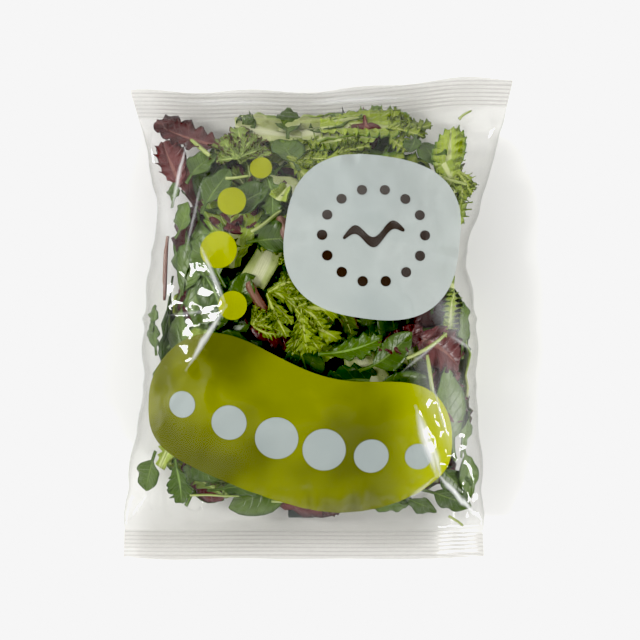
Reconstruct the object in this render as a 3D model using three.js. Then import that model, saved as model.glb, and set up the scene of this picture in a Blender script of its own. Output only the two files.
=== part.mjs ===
// A clear film bag of salad leaves: filled, sealed across both ends and lying on its back.
// It is one closed body, the outer form of the film drawn over the leaves.
// Millimetres. +X is to the right of the printed front, +Y runs from the bottom seal
// to the top seal, and +Z is up. The origin is the middle of its box, on the surface below it.
import * as THREE from "three";

// The film tube and its two seals, from cut edge to cut edge
const LENGTH = 249.2;
const BOTTOM_CUT_Y = -128;
const EDGE_BAND = 3;
const RIB_PITCH = 2.1;
const RIB_COUNT = 6;
const RIB_HEIGHT = 0.4;
const SEAL_THICKNESS = 1.1;

// The filled body: heights above the surface, and how far each end takes to swell
const SIDE_HEIGHT = 26;
const CROWN_RISE = 39;
const BELLY_PRESS = 1.6;
const END_RAMP = 90;
const END_FULLNESS = 0.82;
const CROWN_ROUNDNESS = 2.5;
const CROWN_FULLNESS = 1.9;
const BELLY_ROUNDNESS = 3.4;

// Side edges of the film: pairs of Y and X
const LEFT_EDGE = [
  [-127, -104],
  [-98, -102],
  [-77, -98.4],
  [-53, -93.2],
  [-36, -90],
  [-19, -91.6],
  [15, -89],
  [34, -87.2],
  [51, -83.4],
  [68, -85.4],
  [88, -89.4],
  [105, -95],
  [120, -99.6],
];
const RIGHT_EDGE = [
  [-127, 87.4],
  [-104, 86.6],
  [-92, 85.2],
  [-74, 85.3],
  [-43, 82.4],
  [-11, 82.7],
  [10, 81],
  [31, 76.9],
  [42, 78.2],
  [54, 83.2],
  [75, 89.5],
  [88, 94.6],
  [104, 99.5],
  [124, 104.4],
];

// Seal fins: how high each rides and ripples, how far its right corner curls up,
// and how its cut edge wanders and climbs in plan from its straight line
const BOTTOM_FIN = {
  height: 8,
  ripple: 1.2,
  wave: 88,
  shift: 0.4,
  curl: { height: 13, from: 58, to: 88 },
  wander: { size: 0.3, wave: 60, shift: 0 },
  climb: { size: 2.8, from: 62, to: 88 },
};
const TOP_FIN = {
  height: 11,
  ripple: 2.2,
  wave: 57,
  shift: -0.8,
  curl: { height: 4, from: 60, to: 100 },
  wander: { size: 0.9, wave: 57, shift: -0.8 },
  climb: { size: 6.4, from: -2, to: 76 },
};
const PLAN_FADE = 46;

// Film relief: leaves pushing from inside, gathers beside the seals and long drawn folds
const LUMPS = [
  { height: 1.5, acrossWave: 47, alongWave: 39, turn: 0.6 },
  { height: 0.9, acrossWave: 25, alongWave: 31, turn: 2.1 },
];
const GATHER = { height: 1.7, wave: 17.5, reach: 34 };
const FOLDS = [
  { from: [-49, 0], to: [-66, -26], height: 2.2, width: 4.5 },
  { from: [51, -44], to: [59, -79], height: 2, width: 4 },
  { from: [59, -79], to: [82, -104], height: 2.2, width: 4.5 },
  { from: [-92, -90], to: [-60, -60], height: 1.8, width: 5 },
  { from: [84, 62], to: [52, 30], height: 1.8, width: 5 },
  { from: [-80, 70], to: [-46, 48], height: 1.6, width: 5 },
];

// How finely the faces are split
const ACROSS = 28;
const BODY_ROWS = 36;
const CROWDING_TO_SEALS = 0.35;

const SEAL_DEPTH = EDGE_BAND + RIB_COUNT * RIB_PITCH;

function mix(a, b, share) {
  return a + (b - a) * share;
}

function smooth(share) {
  const t = THREE.MathUtils.clamp(share, 0, 1);
  return t * t * (3 - 2 * t);
}

// X of a side edge at a height Y: a smooth curve through its pairs.
function edgeAt(pairs, y) {
  const last = pairs.length - 1;
  const clamped = THREE.MathUtils.clamp(y, pairs[0][0], pairs[last][0]);
  let i = 0;
  while (i < last - 1 && clamped > pairs[i + 1][0]) i += 1;
  const slope = (k) => {
    const before = pairs[Math.max(k - 1, 0)];
    const after = pairs[Math.min(k + 1, last)];
    return (after[1] - before[1]) / (after[0] - before[0]);
  };
  const [y0, x0] = pairs[i];
  const [y1, x1] = pairs[i + 1];
  const span = y1 - y0;
  const t = (clamped - y0) / span;
  const rise = x1 - x0;
  const a = slope(i) * span - rise;
  const b = rise - slope(i + 1) * span;
  return x0 + rise * t + t * (1 - t) * (a * (1 - t) + b * t);
}

// Distance along the bag from the cut edge of the bottom seal, for each row of points.
function rowDistances() {
  const rows = [0];
  for (let i = 0; i <= 2 * RIB_COUNT; i += 1) {
    rows.push(EDGE_BAND + (i * RIB_PITCH) / 2);
  }
  const body = LENGTH - 2 * SEAL_DEPTH;
  for (let i = 1; i < BODY_ROWS; i += 1) {
    const even = i / BODY_ROWS;
    const eased = (1 - Math.cos(Math.PI * even)) / 2;
    rows.push(SEAL_DEPTH + body * mix(even, eased, CROWDING_TO_SEALS));
  }
  const bottomHalf = rows.slice(0, 2 * RIB_COUNT + 2);
  bottomHalf.reverse().forEach((d) => rows.push(LENGTH - d));
  return rows;
}

// Zigzag of the crimp: a rib's height up and down on alternate rows inside a seal, nothing elsewhere.
function ribAt(endDistance) {
  const into = endDistance - EDGE_BAND;
  if (into < 0 || into > RIB_COUNT * RIB_PITCH) return 0;
  return RIB_HEIGHT * Math.sin((2 * Math.PI * into) / RIB_PITCH + Math.PI / 2);
}

// Height of the seal plane of one end at X.
function finHeight(fin, x) {
  const ripple = fin.ripple * Math.sin((2 * Math.PI * x) / fin.wave + fin.shift);
  const { height, from, to } = fin.curl;
  return fin.height + ripple + height * smooth((x - from) / (to - from));
}

// How far the cut edge of one end stands along Y from its straight line at X.
function planShift(fin, x) {
  const { wander, climb } = fin;
  const along = (2 * Math.PI * x) / wander.wave + wander.shift;
  return wander.size * Math.sin(along) + climb.size * smooth((x - climb.from) / (climb.to - climb.from));
}

function lumpAt(x, y) {
  let height = 0;
  for (const lump of LUMPS) {
    const across = (2 * Math.PI * x) / lump.acrossWave + lump.turn;
    const along = (2 * Math.PI * y) / lump.alongWave - lump.turn;
    height += lump.height * Math.sin(across + Math.sin(along)) * Math.cos(along);
  }
  return height;
}

function foldAt(x, y) {
  let height = 0;
  const point = new THREE.Vector3(x, y, 0);
  const nearest = new THREE.Vector3();
  for (const fold of FOLDS) {
    const line = new THREE.Line3(new THREE.Vector3(...fold.from, 0), new THREE.Vector3(...fold.to, 0));
    line.closestPointToPoint(point, true, nearest);
    const off = nearest.distanceTo(point) / fold.width;
    height += fold.height * Math.exp(-off * off);
  }
  return height;
}

// Gathers run out of a seal and die away into the body.
function gatherAt(x, intoBody) {
  const fade = Math.sin(Math.PI * smooth(intoBody / GATHER.reach));
  return GATHER.height * fade * Math.cos((2 * Math.PI * x) / GATHER.wave + Math.sin(x / GATHER.reach));
}

// One point of the film: across runs from minus one at the left edge to one at the right,
// distance is measured from the bottom cut edge, and side is one above and minus one below.
function filmPoint(across, distance, side) {
  const straightY = BOTTOM_CUT_Y + distance;
  const x = mix(edgeAt(LEFT_EDGE, straightY), edgeAt(RIGHT_EDGE, straightY), (across + 1) / 2);
  const isTop = distance > LENGTH / 2;
  const fin = isTop ? TOP_FIN : BOTTOM_FIN;
  const endDistance = isTop ? LENGTH - distance : distance;
  const intoBody = Math.max(endDistance - SEAL_DEPTH, 0);
  const y = straightY + planShift(fin, x) * (1 - smooth(intoBody / PLAN_FADE));

  const swell = Math.sin((Math.PI / 2) * Math.min(intoBody / END_RAMP, 1)) ** END_FULLNESS;
  const middle = mix(finHeight(fin, x), SIDE_HEIGHT, swell);
  const base = middle + ribAt(endDistance) + (side * SEAL_THICKNESS) / 2;
  const u = Math.abs(across);
  if (side < 0) {
    const belly = (1 - u ** BELLY_ROUNDNESS) ** (1 / BELLY_ROUNDNESS);
    return [x, y, Math.max(base - (SIDE_HEIGHT + BELLY_PRESS) * swell * belly, 0)];
  }
  const crown = (1 - u ** CROWN_ROUNDNESS) ** (1 / CROWN_FULLNESS);
  const relief = lumpAt(x, y) * swell + foldAt(x, y) + gatherAt(x, intoBody);
  return [x, y, base + CROWN_RISE * swell * crown + relief * crown * smooth(intoBody / RIB_PITCH)];
}

// The points of one ring round the bag: over the front from left to right, then back under it.
function ringPoints(distance) {
  const points = [];
  for (const side of [1, -1]) {
    for (let i = 0; i <= ACROSS; i += 1) {
      const across = -side * Math.cos((Math.PI * i) / ACROSS);
      points.push(...filmPoint(across, distance, side));
    }
  }
  return points;
}

// Faces between two neighbouring rings.
function bandFaces(first, ring) {
  const faces = [];
  for (let i = 0; i < ring; i += 1) {
    const a = first + i;
    const b = first + ((i + 1) % ring);
    faces.push(a, b, b + ring, a, b + ring, a + ring);
  }
  return faces;
}

// Faces across the cut edge of a seal, from the front film to the back film.
function cutEdgeFaces(first, ring, atTop) {
  const faces = [];
  for (let i = 0; i < ACROSS; i += 1) {
    const over = first + i;
    const under = first + ring - 1 - i;
    if (atTop) faces.push(over, under - 1, under, over, over + 1, under - 1);
    else faces.push(over, under, under - 1, over, under - 1, over + 1);
  }
  return faces;
}

// Rings from the bottom seal to the top seal, joined into one closed body.
function bagGeometry() {
  const distances = rowDistances();
  const ring = 2 * (ACROSS + 1);
  const lastRing = (distances.length - 1) * ring;
  const index = [...cutEdgeFaces(0, ring, false), ...cutEdgeFaces(lastRing, ring, true)];
  for (let first = 0; first < lastRing; first += ring) index.push(...bandFaces(first, ring));

  const geometry = new THREE.BufferGeometry();
  geometry.setAttribute("position", new THREE.Float32BufferAttribute(distances.flatMap(ringPoints), 3));
  geometry.setIndex(index);
  geometry.computeBoundingBox();
  const centre = geometry.boundingBox.getCenter(new THREE.Vector3());
  geometry.translate(-centre.x, -centre.y, 0);
  geometry.computeVertexNormals();
  return geometry;
}

const film = new THREE.MeshStandardMaterial({ color: "#a9b472", roughness: 0.25, metalness: 0 });

const bag = new THREE.Mesh(bagGeometry(), film);
bag.name = "salad_bag";

const model = new THREE.Group();
model.add(bag);

export default model;
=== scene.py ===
"""A clear film bag of salad leaves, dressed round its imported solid: film, print and leaves."""

import logging
import math
from collections.abc import Iterator
from contextlib import contextmanager
from dataclasses import dataclass, field
from enum import Enum

import bpy
import numpy as np
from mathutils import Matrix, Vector
from mathutils.bvhtree import BVHTree


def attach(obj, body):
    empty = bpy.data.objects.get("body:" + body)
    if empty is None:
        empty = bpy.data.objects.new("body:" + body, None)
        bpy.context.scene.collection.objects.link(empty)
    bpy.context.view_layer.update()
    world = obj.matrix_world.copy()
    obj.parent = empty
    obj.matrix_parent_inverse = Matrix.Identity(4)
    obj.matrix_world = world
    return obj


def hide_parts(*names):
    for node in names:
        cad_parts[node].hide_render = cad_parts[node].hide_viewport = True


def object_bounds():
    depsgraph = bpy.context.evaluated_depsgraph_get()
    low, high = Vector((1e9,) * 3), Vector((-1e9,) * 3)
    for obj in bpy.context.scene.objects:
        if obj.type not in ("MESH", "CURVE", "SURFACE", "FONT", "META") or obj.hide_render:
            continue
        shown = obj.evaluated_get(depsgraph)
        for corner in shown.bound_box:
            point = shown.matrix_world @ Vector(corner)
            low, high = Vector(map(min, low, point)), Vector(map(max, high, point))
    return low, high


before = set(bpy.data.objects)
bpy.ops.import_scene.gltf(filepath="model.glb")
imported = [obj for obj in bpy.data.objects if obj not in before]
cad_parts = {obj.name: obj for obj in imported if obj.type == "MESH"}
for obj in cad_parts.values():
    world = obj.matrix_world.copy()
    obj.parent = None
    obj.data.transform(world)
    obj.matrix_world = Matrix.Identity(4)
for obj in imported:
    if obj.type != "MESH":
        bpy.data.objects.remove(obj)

CAD_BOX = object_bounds()
LOG = logging.getLogger("salad_bag")

MM = 0.001
SEED = 20
MERGE_REACH = 0.01 * MM
Piece = bpy.types.Object
Socket = bpy.types.NodeSocket
Colour = tuple[float, float, float]
Place = tuple[float, float, float]
Pair = tuple[float, float]
Sway = tuple[tuple[float, float, float], ...]


# Photograph frame


@dataclass(frozen=True)
class PhotoFrame:
    """The photograph's pixels in the model's plan, straight from above."""

    middle_px: float = 317.5
    middle_py: float = 318.8
    mm_per_pixel: float = 0.525
    pixels: int = 640
    level: float = 24 * MM
    camera_height: float = 1000 * MM
    sensor: float = 36.0

    def place(self, px: float, py: float) -> Pair:
        """Return the X and Y, in metres, of a pixel of the photograph."""
        scale = self.mm_per_pixel * MM
        return (px - self.middle_px) * scale, (self.middle_py - py) * scale

    def pixel(self, x: float, y: float) -> Pair:
        """Return the photograph's pixel over an X and Y in metres."""
        scale = self.mm_per_pixel * MM
        return self.middle_px + x / scale, self.middle_py - y / scale

    def build_camera(self) -> Piece:
        """Add the camera that looks straight down and make it the scene's camera.

        Returns:
            The camera object.
        """
        x, y = self.place(self.pixels / 2, self.pixels / 2)
        bpy.ops.object.camera_add(location=(x, y, self.camera_height), rotation=(0, 0, 0))
        camera = bpy.context.object
        camera.name = "camera"
        wide = self.pixels * self.mm_per_pixel * MM
        camera.data.sensor_width = self.sensor
        camera.data.lens = self.sensor * (self.camera_height - self.level) / wide
        bpy.context.scene.camera = camera
        return camera


PHOTO = PhotoFrame()


# Mesh handling


def deselect_all() -> None:
    """Leave object mode's selection empty."""
    bpy.ops.object.select_all(action="DESELECT")


def choose(piece: Piece) -> None:
    """Select one object alone and make it active.

    Args:
        piece: The object to work on.
    """
    deselect_all()
    piece.select_set(True)
    bpy.context.view_layer.objects.active = piece


def read_vectors(rows: bpy.types.bpy_prop_collection, key: str) -> np.ndarray:
    """Read one vector of each row of mesh data.

    Args:
        rows: The points, normals or faces.
        key: The vector's name.

    Returns:
        An array of shape (rows, 3).
    """
    flat = np.empty(len(rows) * 3)
    rows.foreach_get(key, flat)
    return flat.reshape(-1, 3)


def read_points(piece: Piece) -> np.ndarray:
    """Return a mesh's points as rows of X, Y and Z."""
    return read_vectors(piece.data.vertices, "co")


def write_points(piece: Piece, points: np.ndarray) -> None:
    """Move a mesh's points to new places, given in the mesh's order."""
    piece.data.vertices.foreach_set("co", points.reshape(-1))
    piece.data.update()


@contextmanager
def editing(piece: Piece) -> Iterator[None]:
    """Hold a mesh in edit mode with all of it selected.

    Args:
        piece: The object to edit.

    Yields:
        Nothing: the mesh operators act on the piece meanwhile.
    """
    choose(piece)
    bpy.ops.object.mode_set(mode="EDIT")
    bpy.ops.mesh.select_all(action="SELECT")
    yield
    bpy.ops.object.mode_set(mode="OBJECT")


def apply_modifiers(piece: Piece) -> None:
    """Apply every modifier of a piece, in order."""
    choose(piece)
    for modifier in list(piece.modifiers):
        bpy.ops.object.modifier_apply(modifier=modifier.name)


def add_displace(
    piece: Piece, name: str, kind: str, size: float, strength: float, middle: float,
) -> bpy.types.Modifier:
    """Add a displacement by a procedural texture in the object's own place.

    Args:
        piece: The object to displace.
        name: The name of the modifier and its texture.
        kind: The texture's type.
        size: The texture's scale, in metres.
        strength: How far a whole step moves a point, in metres.
        middle: The texture level that moves nothing.

    Returns:
        The modifier.
    """
    texture = bpy.data.textures.new(name, kind)
    texture.noise_scale = size
    displace = piece.modifiers.new(name, "DISPLACE")
    displace.texture = texture
    displace.texture_coords = "LOCAL"
    displace.strength = strength
    displace.mid_level = middle
    return displace


def dress_piece(
    piece: Piece, material: bpy.types.Material, replaced: str | None = None,
) -> None:
    """Smooth a piece, give it one material, attach it to the root body and hide the part that it replaces.

    Args:
        piece: The object to dress.
        material: Its finish.
        replaced: The node that it stands in for, if any.
    """
    choose(piece)
    bpy.ops.object.shade_smooth()
    piece.data.materials.clear()
    piece.data.materials.append(material)
    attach(piece, "root")
    if replaced:
        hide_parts(replaced)


def join_pieces(pieces: list[Piece], name: str) -> Piece:
    """Join several objects into one mesh.

    Args:
        pieces: The objects, the first of which is kept.
        name: The joined piece's name.

    Returns:
        The joined object.
    """
    deselect_all()
    for piece in pieces:
        piece.select_set(True)
    bpy.context.view_layer.objects.active = pieces[0]
    if len(pieces) > 1:
        bpy.ops.object.join()
    joined = bpy.context.view_layer.objects.active
    joined.name = name
    joined.data.name = name
    return joined


def add_grid(columns: int, rows: int) -> Piece:
    """Add a flat grid one metre square with its corner at the origin.

    Args:
        columns: Faces along X.
        rows: Faces along Y.

    Returns:
        The grid, with a UV map that runs from 0 to 1 both ways.
    """
    deselect_all()
    bpy.ops.mesh.primitive_grid_add(x_subdivisions=columns, y_subdivisions=rows, size=1, location=(0, 0, 0))
    grid = bpy.context.object
    write_points(grid, read_points(grid) + np.array((0.5, 0.5, 0)))
    return grid


def smooth_step(share: np.ndarray) -> np.ndarray:
    """Ease from 0 to 1 with level ends, holding the values between them."""
    held = np.clip(share, 0, 1)
    return held * held * (3 - 2 * held)


def sway_along(place: np.ndarray, sway: Sway) -> np.ndarray:
    """Add up sine waves along an axis, each given by its height, length and shift."""
    return sum(height * np.sin(place / length + shift) for height, length, shift in sway)


def set_attribute(piece: Piece, name: str, values: np.ndarray) -> None:
    """Store one number for each point of a mesh under a name."""
    attribute = piece.data.attributes.new(name, "FLOAT", "POINT")
    attribute.data.foreach_set("value", values.astype(np.float32))


# Node tools


class NodeBench:
    """A node tree of a material or a world, with short calls for the nodes that it uses."""

    COLOUR_MIX_INPUTS = (0, 6, 7)
    COLOUR_MIX_OUTPUT = 2

    def __init__(self, name: str, world: bool = False) -> None:
        """Start an empty tree.

        Args:
            name: The name of the material or world.
            world: Whether it is a world.
        """
        self.owner = (bpy.data.worlds if world else bpy.data.materials).new(name)
        self.owner.use_nodes = True
        self.tree = self.owner.node_tree
        self.tree.nodes.clear()
        self.output = self.node("ShaderNodeOutputWorld" if world else "ShaderNodeOutputMaterial")

    def node(self, kind: str, **values: object) -> bpy.types.Node:
        """Add a node and set its plain properties.

        Args:
            kind: The node's type.
            **values: Properties by name.

        Returns:
            The node.
        """
        made = self.tree.nodes.new(kind)
        for key, value in values.items():
            setattr(made, key, value)
        return made

    def link(self, source: Socket, target: Socket) -> None:
        """Join an output to an input."""
        self.tree.links.new(source, target)

    def feed(self, socket: Socket, value: object) -> None:
        """Link a socket, or set it where the value is a plain one.

        Args:
            socket: The input.
            value: A socket, a number or a tuple.
        """
        if isinstance(value, Socket):
            self.link(value, socket)
        elif isinstance(value, tuple) and len(value) == 3 and socket.type == "RGBA":
            socket.default_value = (*value, 1.0)
        else:
            socket.default_value = value

    def math(self, operation: str, *values: object) -> Socket:
        """Add a Math node.

        Args:
            operation: The operation's name.
            *values: Up to three values or sockets.

        Returns:
            The result's socket.
        """
        made = self.node("ShaderNodeMath", operation=operation)
        for socket, value in zip(made.inputs, values):
            self.feed(socket, value)
        return made.outputs[0]

    def part(self, vector: Socket, axis: str) -> Socket:
        """Return one axis of a vector, by its letter."""
        made = self.node("ShaderNodeSeparateXYZ")
        self.link(vector, made.inputs[0])
        return made.outputs[axis]

    def span(
        self, value: object, low: float, high: float, to_low: float = 0.0, to_high: float = 1.0,
    ) -> Socket:
        """Map a range to another one smoothly, held at its ends.

        Args:
            value: The socket to map.
            low: Where the range starts.
            high: Where the range ends.
            to_low: The result at the start.
            to_high: The result at the end.

        Returns:
            The result's socket.
        """
        made = self.node("ShaderNodeMapRange", interpolation_type="SMOOTHSTEP")
        self.feed(made.inputs["Value"], value)
        for key, number in (("From Min", low), ("From Max", high), ("To Min", to_low), ("To Max", to_high)):
            made.inputs[key].default_value = number
        return made.outputs[0]

    def mix(self, share: object, first: object, second: object) -> Socket:
        """Mix two colours.

        Args:
            share: How much of the second.
            first: First colour.
            second: Second colour.

        Returns:
            The mixed colour's socket.
        """
        made = self.node("ShaderNodeMix", data_type="RGBA")
        for index, value in zip(self.COLOUR_MIX_INPUTS, (share, first, second)):
            self.feed(made.inputs[index], value)
        return made.outputs[self.COLOUR_MIX_OUTPUT]

    def blend(self, *parts: Socket) -> Socket:
        """Mix two shaders, given after the share of the second."""
        made = self.node("ShaderNodeMixShader")
        for socket, value in zip(made.inputs, parts):
            self.link(value, socket)
        return made.outputs[0]

    def noise(self, size: float, detail: float = 3.0) -> Socket:
        """Add noise, in the object's own place, whose patches are about the given size.

        Args:
            size: Patch size in metres.
            detail: How many finer layers.

        Returns:
            The noise value's socket.
        """
        made = self.node("ShaderNodeTexNoise")
        made.inputs["Scale"].default_value = 1 / size
        made.inputs["Detail"].default_value = detail
        self.link(self.place(), made.inputs["Vector"])
        return made.outputs[0]

    def place(self) -> Socket:
        """Return the object's own coordinates."""
        return self.node("ShaderNodeTexCoord").outputs["Object"]

    def attribute(self, name: str) -> Socket:
        """Return the value of a point attribute."""
        return self.node("ShaderNodeAttribute", attribute_name=name).outputs["Fac"]

    def bump(self, height: object, distance: float, strength: float = 1.0) -> Socket:
        """Turn a height into a normal.

        Args:
            height: The height's socket, from 0 to 1.
            distance: What a height of 1 stands for, in metres.
            strength: How much of it shows.

        Returns:
            The normal's socket.
        """
        made = self.node("ShaderNodeBump")
        made.inputs["Distance"].default_value = distance
        made.inputs["Strength"].default_value = strength
        self.feed(made.inputs["Height"], height)
        return made.outputs[0]

    def finish(self, shader: Socket) -> bpy.types.ID:
        """Send a shader to the output and return the material or world."""
        self.link(shader, self.output.inputs["Surface"])
        return self.owner

    def surface(
        self, colour: Socket, normal: Socket | None = None,
        roughness: float = 0.5, gloss: float = 0.5, cover: float = 1.0,
    ) -> bpy.types.Material:
        """Finish the material as an opaque or nearly opaque surface.

        Args:
            colour: Its colour.
            normal: Its relief, if any.
            roughness: How rough it is.
            gloss: How strongly it mirrors.
            cover: How opaque it is.

        Returns:
            The material.
        """
        made = self.node("ShaderNodeBsdfPrincipled")
        self.link(colour, made.inputs["Base Color"])
        for key, value in (("Roughness", roughness), ("Specular IOR Level", gloss), ("Alpha", cover)):
            made.inputs[key].default_value = value
        if normal:
            self.link(normal, made.inputs["Normal"])
        return self.finish(made.outputs[0])


# Finishes


@dataclass(frozen=True)
class FilmFinish:
    """Clear glossy film: it lets light through, and mirrors more of it at a slant; its seal ribs carry
    painted shade and its creases painted highlights.
    """

    clear: Colour = (0.945, 0.944, 0.937)
    seal_clear: Colour = (0.885, 0.878, 0.865)
    # Darker tint on the ribs: painted shade of the crimp.
    rib_painted_shade: Colour = (0.8, 0.793, 0.778)
    rib_pitch: float = 2.1 * MM
    rib_flank: Pair = (0.22, 0.42)
    slanted_clear: Colour = (0.84, 0.84, 0.825)
    slant_span: Pair = (0.0, 0.8)
    # White of the film's haze and of the highlights painted along its creases.
    haze_and_painted_highlight_colour: Colour = (0.84, 0.85, 0.85)
    facing_mirror: float = 0.04
    mirror_power: float = 5.0
    haze: float = 0.012
    haze_patch: float = 0.045
    haze_span: Pair = (0.5, 0.75)
    seal_haze: float = 0.07
    gloss_roughness: float = 0.055
    seal_roughness: float = 0.2
    wrinkle: float = 0.007
    wrinkle_height: float = 0.1 * MM

    def build(self) -> bpy.types.Material:
        """Build the material.

        Returns:
            The film's material.
        """
        bench = NodeBench("film")
        seal = bench.attribute("seal")
        facing = bench.node("ShaderNodeLayerWeight").outputs["Facing"]

        # Painted shade: the crimp ribs show as darker stripes across the seals.
        turns = bench.math("DIVIDE", bench.attribute("end_distance"), self.rib_pitch)
        ridge = bench.math("ABSOLUTE", bench.math("SUBTRACT", bench.math("FRACT", turns), 0.5))
        sealed = bench.mix(bench.span(ridge, *self.rib_flank), self.seal_clear, self.rib_painted_shade)
        straight = bench.mix(seal, self.clear, sealed)
        through = bench.node("ShaderNodeBsdfTransparent")
        slanted = bench.span(facing, *self.slant_span)
        bench.link(bench.mix(slanted, straight, self.slanted_clear), through.inputs["Color"])

        gloss = bench.node("ShaderNodeBsdfGlossy")
        roughness = bench.span(seal, 0, 1, self.gloss_roughness, self.seal_roughness)
        bench.link(roughness, gloss.inputs["Roughness"])
        bench.link(bench.bump(bench.noise(self.wrinkle, 2.0), self.wrinkle_height), gloss.inputs["Normal"])
        slant = bench.math("POWER", facing, self.mirror_power)
        mirror = bench.math("MULTIPLY_ADD", slant, 1 - self.facing_mirror, self.facing_mirror)
        shine = bench.blend(mirror, through.outputs[0], gloss.outputs[0])

        # A white diffuse layer: the film's own haze in patches and at the seals, plus highlights painted
        # along the creases.
        haze_and_painted_highlight = bench.node("ShaderNodeBsdfDiffuse")
        bench.feed(haze_and_painted_highlight.inputs["Color"], self.haze_and_painted_highlight_colour)
        patches = bench.span(bench.noise(self.haze_patch, 4.0), *self.haze_span, 0.0, self.haze)
        haze = bench.math("MULTIPLY_ADD", seal, self.seal_haze, patches)
        share = bench.math("ADD", haze, bench.attribute("haze_and_painted_highlight"))
        return bench.finish(bench.blend(share, shine, haze_and_painted_highlight.outputs[0]))


@dataclass(frozen=True)
class PrintFinish:
    """Ink on the film: a flat colour with the film's gloss, let through a little."""

    name: str
    colour: Colour
    shade: Colour
    cover: float = 0.95
    lit: float = 1.0
    lit_from: float = 24 * MM
    lit_to: float = 72 * MM
    roughness: float = 0.33
    gloss: float = 0.05
    mottle: float = 0.05
    mottle_span: Pair = (0.35, 0.65)
    ripple: float = 6 * MM
    ripple_height: float = 0.15 * MM

    def build(self) -> bpy.types.Material:
        """Build the material.

        Returns:
            The ink's material.
        """
        bench = NodeBench(self.name)
        drift = bench.span(bench.noise(self.mottle, 2.0), *self.mottle_span)
        ink = bench.mix(drift, self.colour, self.shade)
        lit_ink = tuple(min(channel * self.lit, 1.0) for channel in self.colour)
        toward_light = bench.span(bench.part(bench.place(), "X"), self.lit_from, self.lit_to)
        normal = bench.bump(bench.noise(self.ripple, 2.0), self.ripple_height)
        colour = bench.mix(toward_light, ink, lit_ink)
        return bench.surface(colour, normal, self.roughness, self.gloss, self.cover)


@dataclass(frozen=True)
class LeafFinish:
    """A leaf's skin: blade colours, midrib, side veins, margin and a waxy gloss."""

    name: str
    dark: Colour
    light: Colour
    rib: Colour
    margin: Colour
    margin_start: float = 0.8
    margin_rise: Pair = (0.15, 0.5)
    patch_size: float = 7 * MM
    patch_span: Pair = (0.3, 0.7)
    patch_share: float = 0.3
    tint_share: float = 0.75
    rib_width: float = 0.035
    rib_taper: Pair = (1.6, 0.35)
    rib_flank: Pair = (0.55, 1.25)
    vein_count: float = 9.0
    vein_slant: float = 1.6
    vein_width: float = 0.11
    vein_show: float = 0.35
    vein_sink: float = -0.25
    wobble_size: float = 9 * MM
    wobble: float = 0.8
    roughness: float = 0.33
    gloss: float = 0.4
    blister: float = 0.35
    blister_size: float = 2.2 * MM
    relief_height: float = 0.9 * MM
    relief_strength: float = 0.8

    def build(self) -> bpy.types.Material:
        """Build the material.

        Returns:
            The leaf's material.
        """
        bench = NodeBench(self.name)
        uv = bench.node("ShaderNodeTexCoord").outputs["UV"]
        along = bench.part(uv, "Y")
        off_rib = bench.math("ABSOLUTE", bench.math("SUBTRACT", bench.part(uv, "X"), 0.5))
        patches = bench.span(bench.noise(self.patch_size, 4.0), *self.patch_span)
        tint = bench.math("MULTIPLY", bench.attribute("tint"), self.tint_share)
        blade = bench.mix(bench.math("MULTIPLY_ADD", patches, self.patch_share, tint), self.dark, self.light)

        slant = bench.math("MULTIPLY", off_rib, 2 * self.vein_slant)
        rise = bench.math("SUBTRACT", bench.math("MULTIPLY", along, self.vein_count), slant)
        wobbly = bench.math("MULTIPLY_ADD", bench.noise(self.wobble_size, 2.0), self.wobble, rise)
        wave = bench.math("ABSOLUTE", bench.math("SUBTRACT", bench.math("FRACT", wobbly), 0.5))
        vein = bench.span(wave, 0.0, self.vein_width, 1.0, 0.0)
        veined = bench.mix(bench.math("MULTIPLY", vein, self.vein_show), blade, self.rib)

        edge = bench.span(off_rib, self.margin_start / 2, 0.5)
        edge_show = bench.math("MULTIPLY", edge, bench.span(along, *self.margin_rise))
        edged = bench.mix(edge_show, veined, self.margin)

        foot, tip = self.rib_taper
        width = bench.span(along, 0.0, 1.0, self.rib_width * foot, self.rib_width * tip)
        rib = bench.span(bench.math("DIVIDE", off_rib, width), *self.rib_flank, 1.0, 0.0)
        colour = bench.mix(rib, edged, self.rib)

        blisters = bench.math("MULTIPLY", bench.noise(self.blister_size, 3.0), self.blister)
        skin = bench.math("MULTIPLY_ADD", vein, self.vein_sink, blisters)
        normal = bench.bump(skin, self.relief_height, self.relief_strength)
        return bench.surface(colour, normal, self.roughness, self.gloss)


@dataclass(frozen=True)
class CorePaintedShadeFinish:
    """Painted shade: the near-black of the heap's depths, which shows through the gaps between the leaves.
    """

    # Near-black colours: painted shade standing for the shadowed depths of the heap.
    dark: Colour = (0.006, 0.012, 0.004)
    light: Colour = (0.03, 0.06, 0.015)
    patch_size: float = 14 * MM
    patch_span: Pair = (0.4, 0.7)
    roughness: float = 0.7
    lump_size: float = 5 * MM
    lump_height: float = 2 * MM

    def build(self) -> bpy.types.Material:
        """Build the material.

        Returns:
            The core's material.
        """
        bench = NodeBench("heap_core_painted_shade")
        patches = bench.span(bench.noise(self.patch_size, 4.0), *self.patch_span)
        colour = bench.mix(patches, self.dark, self.light)
        normal = bench.bump(bench.noise(self.lump_size), self.lump_height)
        return bench.surface(colour, normal, self.roughness)


@dataclass(frozen=True)
class FloorFinish:
    """Plain pale matt paper."""

    colour: Colour = (0.9, 0.895, 0.885)
    speck: Colour = (1, 1, 1)
    grain_size: float = 0.3
    grain: float = 0.01
    roughness: float = 0.9
    gloss: float = 0.1

    def build(self) -> bpy.types.Material:
        """Build the material.

        Returns:
            The floor's material.
        """
        bench = NodeBench("floor")
        grain = bench.math("MULTIPLY", bench.span(bench.noise(self.grain_size, 1.0), 0.0, 1.0), self.grain)
        colour = bench.mix(grain, self.colour, self.speck)
        return bench.surface(colour, roughness=self.roughness, gloss=self.gloss)


# Film


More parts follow.
